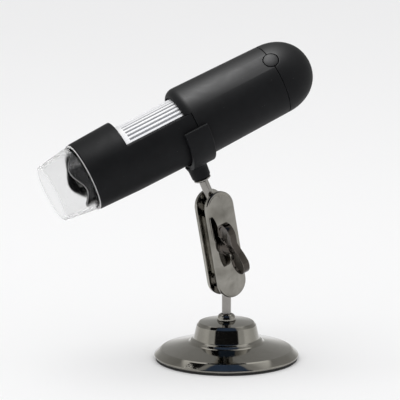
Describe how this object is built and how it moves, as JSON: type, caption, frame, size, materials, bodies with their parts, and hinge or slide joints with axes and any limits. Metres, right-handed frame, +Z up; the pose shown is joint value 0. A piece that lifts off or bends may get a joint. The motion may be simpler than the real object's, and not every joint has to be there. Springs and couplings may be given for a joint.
{
  "type": "digital microscope",
  "caption": "Hand-held digital microscope with a clear nose and a ribbed focus wheel, clipped on a two-ball clamp-arm stand with a round weighted foot.",
  "frame": {"origin": "centre of the foot's underside, on the surface that the stand is put on", "axes": "+Z up; the microscope's axis lies in a plane parallel to X and Z, nose down towards -X"},
  "size_m": [0.1252, 0.065, 0.1416],
  "materials": {
    "body_black": "soft-touch coating, fine even grain",
    "inner_black": "smooth black moulding",
    "clear_nose": "clear moulded plastic, polished",
    "wheel_silver": "bright satin, ribbed",
    "gunmetal": "polished black nickel with an olive-grey tone",
    "dark_nickel": "dark brown-black polished plating",
    "bright_steel": "fine turned finish",
    "insert_brass": "turned",
    "ballast_iron": "as cast, painted",
    "black_rubber": "matt",
    "circuit_green": "solder mask",
    "circuit_white": "white solder mask",
    "chip_black": "moulded",
    "lens_glass": "polished, coated",
    "lamp_epoxy": "clear epoxy"
  },
  "bodies": {
    "stand": {"base_dome": "gunmetal", "base_pad": "black_rubber", "base_weight": "ballast_iron", "base_collar": "gunmetal", "base_nut": "bright_steel"},
    "lower_stud": {"lower_ball_stud": "bright_steel"},
    "arm": {"arm_plate_rear": "gunmetal", "clamp_screw": "bright_steel"},
    "clamp_plate": {"arm_plate_front": "gunmetal", "clamp_washer": "bright_steel"},
    "wing_nut": {"wing_nut": "dark_nickel"},
    "upper_stud": {"upper_ball_stud": "bright_steel", "stem_washer": "bright_steel"},
    "holder": {"clip_holder": "body_black", "threaded_insert": "insert_brass"},
    "microscope": {"front_barrel": "body_black", "rear_sleeve": "body_black", "end_cap": "body_black", "nose_cap": "clear_nose", "lamp_shroud": "inner_black", "led_board": "circuit_white", "core_tube": "inner_black", "wheel_retaining_ring": "bright_steel", "rear_bulkhead": "inner_black", "core_screw_1": "bright_steel", "core_screw_2": "bright_steel", "core_screw_3": "bright_steel", "ir_filter": "lens_glass", "image_sensor": "chip_black", "sensor_board": "circuit_green", "main_board": "circuit_green", "board_screw_1": "bright_steel", "board_screw_2": "bright_steel", "button_switch": "chip_black", "cable_gland": "black_rubber", "white_led_1": "lamp_epoxy", "white_led_2": "lamp_epoxy", "white_led_3": "lamp_epoxy", "white_led_4": "lamp_epoxy", "white_led_5": "lamp_epoxy", "white_led_6": "lamp_epoxy", "white_led_7": "lamp_epoxy", "white_led_8": "lamp_epoxy"},
    "focus_wheel": {"focus_wheel": "wheel_silver"},
    "lens_carriage": {"lens_carriage": "inner_black", "guide_pin": "bright_steel", "lens_barrel": "inner_black", "objective_lens": "lens_glass", "lens_retaining_ring": "bright_steel"},
    "snapshot_button": {"snapshot_button": "body_black", "switch_plunger": "inner_black"}
  },
  "joints": [
    {"name": "base_swivel", "type": "hinge", "parent": "stand", "child": "lower_stud", "pos_m": [0, 0, 0.0356], "axis": [0, 0, 1], "continuous": true},
    {"name": "lower_pivot", "type": "hinge", "parent": "lower_stud", "child": "arm", "pos_m": [0, 0, 0.0356], "axis": [0.2538, -0.9673, 0], "range_deg": [-50, 25]},
    {"name": "clamp_plate_slide", "type": "slide", "parent": "arm", "child": "clamp_plate", "axis": [0.2538, -0.9673, 0], "range_m": [0, 0.0007]},
    {"name": "wing_nut_turn", "type": "hinge", "parent": "clamp_plate", "child": "wing_nut", "pos_m": [-0.00445, -0.00117, 0.05284], "axis": [0.2538, -0.9673, 0], "range_deg": [0, 360]},
    {"name": "upper_pivot", "type": "hinge", "parent": "arm", "child": "upper_stud", "pos_m": [-0.00663, -0.00174, 0.07053], "axis": [0.2538, -0.9673, 0], "range_deg": [-50, 35]},
    {"name": "holder_swivel", "type": "hinge", "parent": "upper_stud", "child": "holder", "pos_m": [-0.00663, -0.00174, 0.07053], "axis": [-0.4043, 0, 0.9146], "continuous": true},
    {"name": "scope_roll", "type": "hinge", "parent": "holder", "child": "microscope", "pos_m": [-0.06604, -0.00174, 0.08671], "axis": [0.9146, 0, 0.4043], "continuous": true},
    {"name": "focus_turn", "type": "hinge", "parent": "microscope", "child": "focus_wheel", "pos_m": [-0.06604, -0.00174, 0.08671], "axis": [0.9146, 0, 0.4043], "range_deg": [-150, 150]},
    {"name": "lens_focus", "type": "slide", "parent": "microscope", "child": "lens_carriage", "axis": [0.9146, 0, 0.4043], "range_m": [-0.004, 0.004]},
    {"name": "snapshot_press", "type": "slide", "parent": "microscope", "child": "snapshot_button", "axis": [0.2923, 0.6909, -0.6612], "range_m": [0, 0.0006], "stiffness_N_per_m": 600, "springref_m": -0.0006}
  ],
  "couplings": [
    {"joint": "wing_nut_turn", "follows": "clamp_plate_slide", "rad_per_m": 8970},
    {"joint": "lens_focus", "follows": "focus_turn", "m_per_rad": 0.0015}
  ]
}
